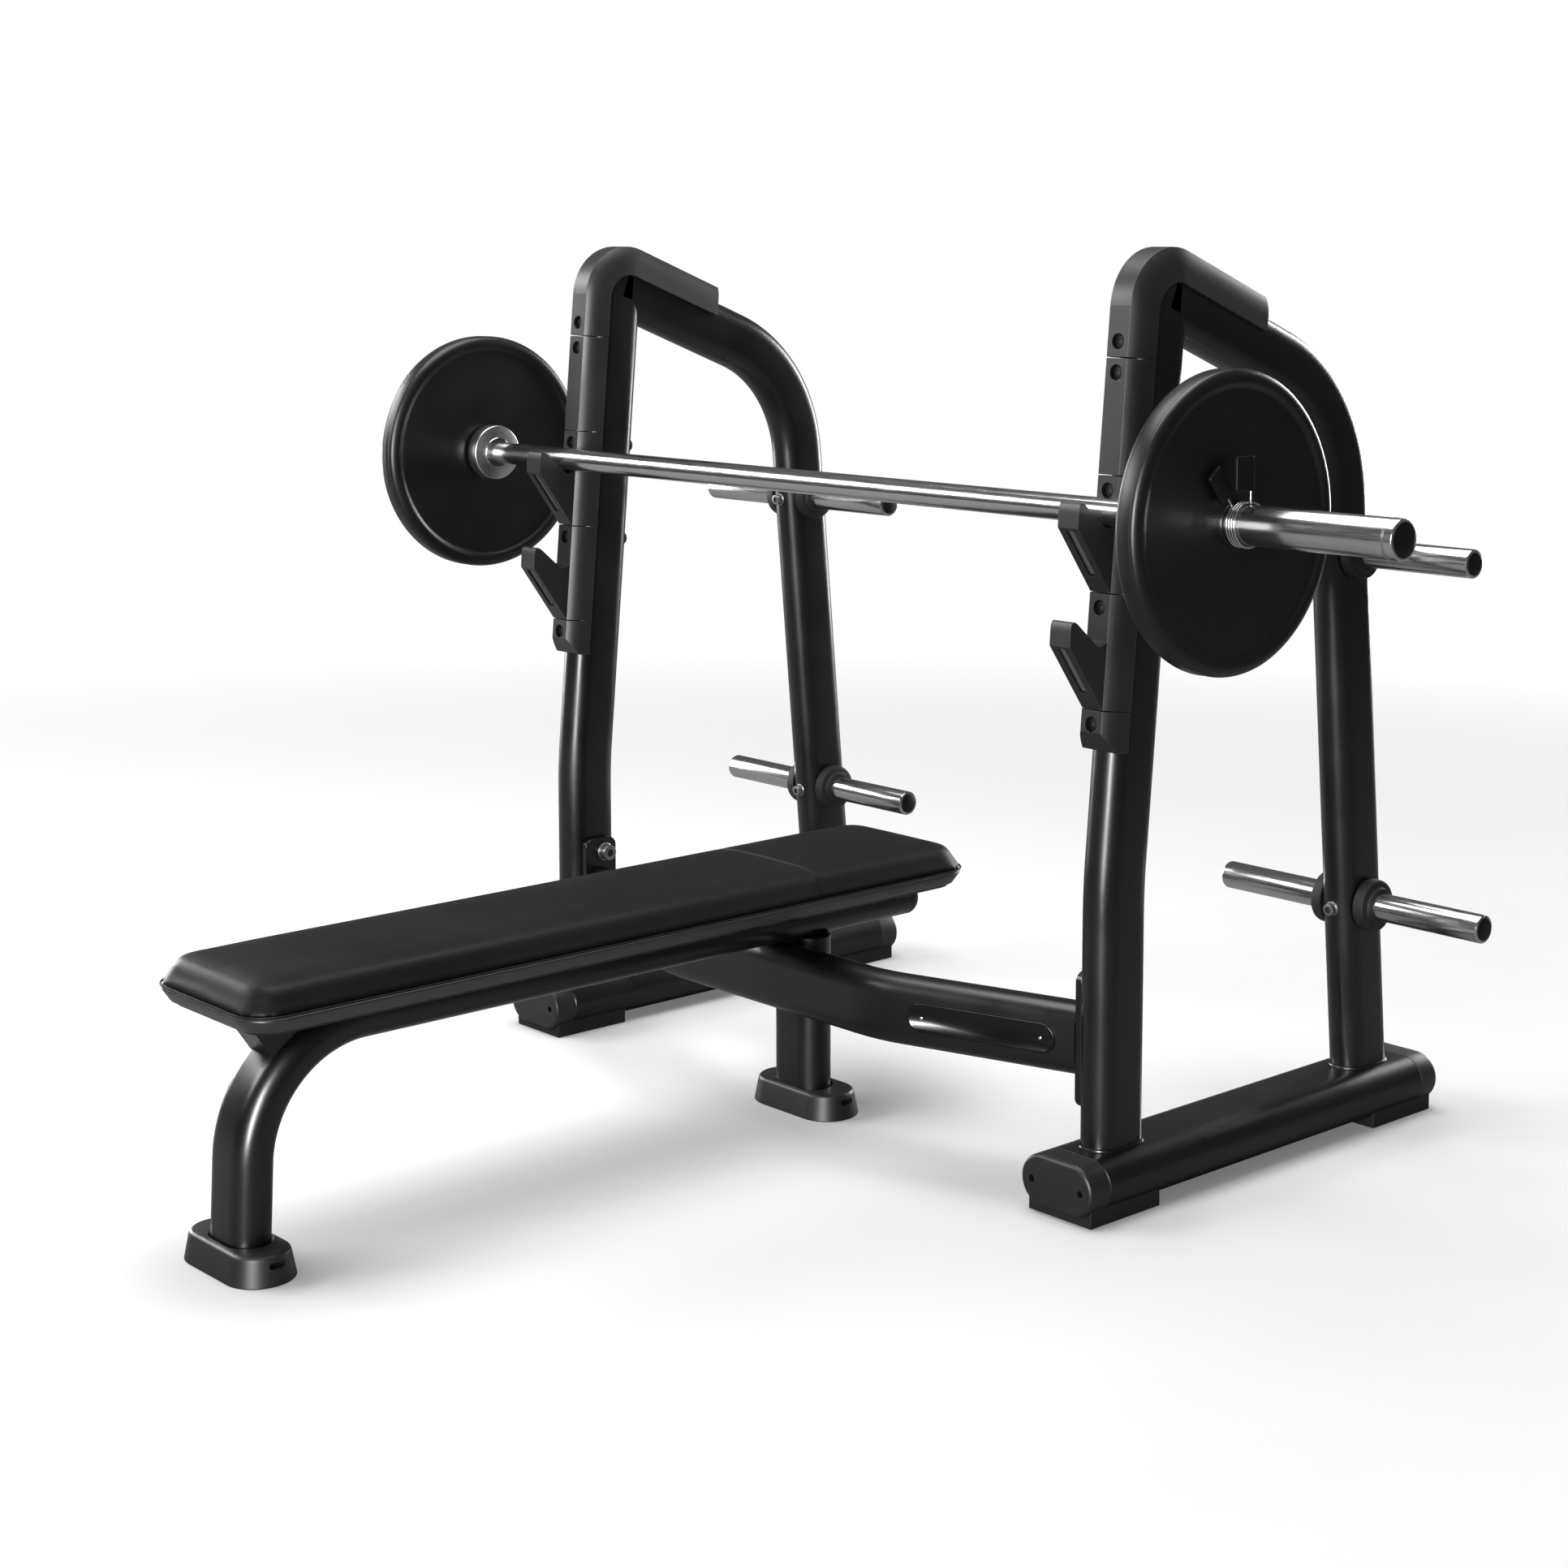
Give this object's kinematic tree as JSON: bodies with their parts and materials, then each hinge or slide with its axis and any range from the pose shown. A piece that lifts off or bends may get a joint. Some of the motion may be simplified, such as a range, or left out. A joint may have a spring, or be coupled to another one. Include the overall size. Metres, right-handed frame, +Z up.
{
  "type": "olympic bench press",
  "caption": "Flat weight bench joined to two side frames with hooks that hold a loaded barbell, plate storage horns and rubber feet.",
  "frame": {"origin": "middle of the whole object's box seen from above, on the floor", "axes": "+X to the right-hand side frame along the barbell, +Y from the bench's foot end to its head end, +Z up"},
  "size_m": [2.104, 1.665, 1.2607],
  "materials": {
    "frame_paint": "semi-gloss fine-texture powder coat",
    "cover_plastic": "fine grained charcoal",
    "black_rubber": "matte",
    "plate_rubber": "fine textured, low sheen",
    "pad_vinyl": "grained vinyl",
    "pad_trim": "satin",
    "pad_board": "gloss lip",
    "chrome": "polished and lightly brushed",
    "badge": "gloss, blank",
    "grip_plastic": "matte"
  },
  "bodies": {
    "frame": {"base_tube_left": "frame_paint", "front_upright_left": "frame_paint", "rear_arch_left": "frame_paint", "flange_plate_left": "frame_paint", "base_cap_front_left": "cover_plastic", "base_cap_rear_left": "cover_plastic", "end_cover_left": "cover_plastic", "lower_hook_left": "cover_plastic", "upper_hook_left": "cover_plastic", "spacer_cover_left": "cover_plastic", "top_cover_left": "cover_plastic", "floor_pad_front_left": "black_rubber", "floor_pad_rear_left": "black_rubber", "horn_bumper_lower_outer_left": "black_rubber", "horn_bumper_lower_inner_left": "black_rubber", "horn_bumper_upper_outer_left": "black_rubber", "horn_bumper_upper_inner_left": "black_rubber", "storage_horn_lower_left": "chrome", "storage_horn_upper_left": "chrome", "base_tube_right": "frame_paint", "front_upright_right": "frame_paint", "rear_arch_right": "frame_paint", "flange_plate_right": "frame_paint", "base_cap_front_right": "cover_plastic", "base_cap_rear_right": "cover_plastic", "end_cover_right": "cover_plastic", "lower_hook_right": "cover_plastic", "upper_hook_right": "cover_plastic", "spacer_cover_right": "cover_plastic", "top_cover_right": "cover_plastic", "floor_pad_front_right": "black_rubber", "floor_pad_rear_right": "black_rubber", "horn_bumper_lower_outer_right": "black_rubber", "horn_bumper_lower_inner_right": "black_rubber", "horn_bumper_upper_outer_right": "black_rubber", "horn_bumper_upper_inner_right": "black_rubber", "storage_horn_lower_right": "chrome", "storage_horn_upper_right": "chrome", "crossmember": "frame_paint", "bench_beam": "frame_paint", "rear_post": "frame_paint", "front_bracket": "frame_paint", "badge": "badge", "foot_cover_front": "cover_plastic", "foot_cover_rear": "cover_plastic", "pad_board": "pad_board", "pad_trim": "pad_trim", "bench_pad": "pad_vinyl"},
    "sleeve_left": {"bar_sleeve_left": "chrome"},
    "clip_left": {"clip_coil_left": "chrome", "clip_fixed_grip_left": "grip_plastic"},
    "plate_left": {"weight_plate_left": "plate_rubber"},
    "lever_left": {"clip_lever_left": "grip_plastic"},
    "sleeve_right": {"bar_sleeve_right": "chrome"},
    "clip_right": {"clip_coil_right": "chrome", "clip_fixed_grip_right": "grip_plastic"},
    "plate_right": {"weight_plate_right": "plate_rubber"},
    "lever_right": {"clip_lever_right": "grip_plastic"},
    "bar": {"bar_shaft": "chrome"}
  },
  "joints": [
    {"name": "bar_lift", "type": "slide", "parent": "frame", "child": "bar", "axis": [0, 0, 1], "range_m": [0, 0.35]},
    {"name": "sleeve_spin_left", "type": "hinge", "parent": "bar", "child": "sleeve_left", "pos_m": [-0.9, 0.147, 0.925], "axis": [1, 0, 0], "continuous": true},
    {"name": "plate_slide_left", "type": "slide", "parent": "sleeve_left", "child": "plate_left", "axis": [-1, 0, 0], "range_m": [0, 0.11]},
    {"name": "clip_slide_left", "type": "slide", "parent": "plate_left", "child": "clip_left", "axis": [-1, 0, 0], "range_m": [0, 0.11]},
    {"name": "clip_squeeze_left", "type": "hinge", "parent": "clip_left", "child": "lever_left", "pos_m": [-0.812, 0.147, 0.925], "axis": [1, 0, 0], "range_deg": [-25, 0], "stiffness_Nm_per_rad": 2},
    {"name": "sleeve_spin_right", "type": "hinge", "parent": "bar", "child": "sleeve_right", "pos_m": [0.9, 0.147, 0.925], "axis": [1, 0, 0], "continuous": true},
    {"name": "plate_slide_right", "type": "slide", "parent": "sleeve_right", "child": "plate_right", "axis": [1, 0, 0], "range_m": [0, 0.11]},
    {"name": "clip_slide_right", "type": "slide", "parent": "plate_right", "child": "clip_right", "axis": [1, 0, 0], "range_m": [0, 0.11]},
    {"name": "clip_squeeze_right", "type": "hinge", "parent": "clip_right", "child": "lever_right", "pos_m": [0.812, 0.147, 0.925], "axis": [1, 0, 0], "range_deg": [-25, 0], "stiffness_Nm_per_rad": 2}
  ]
}
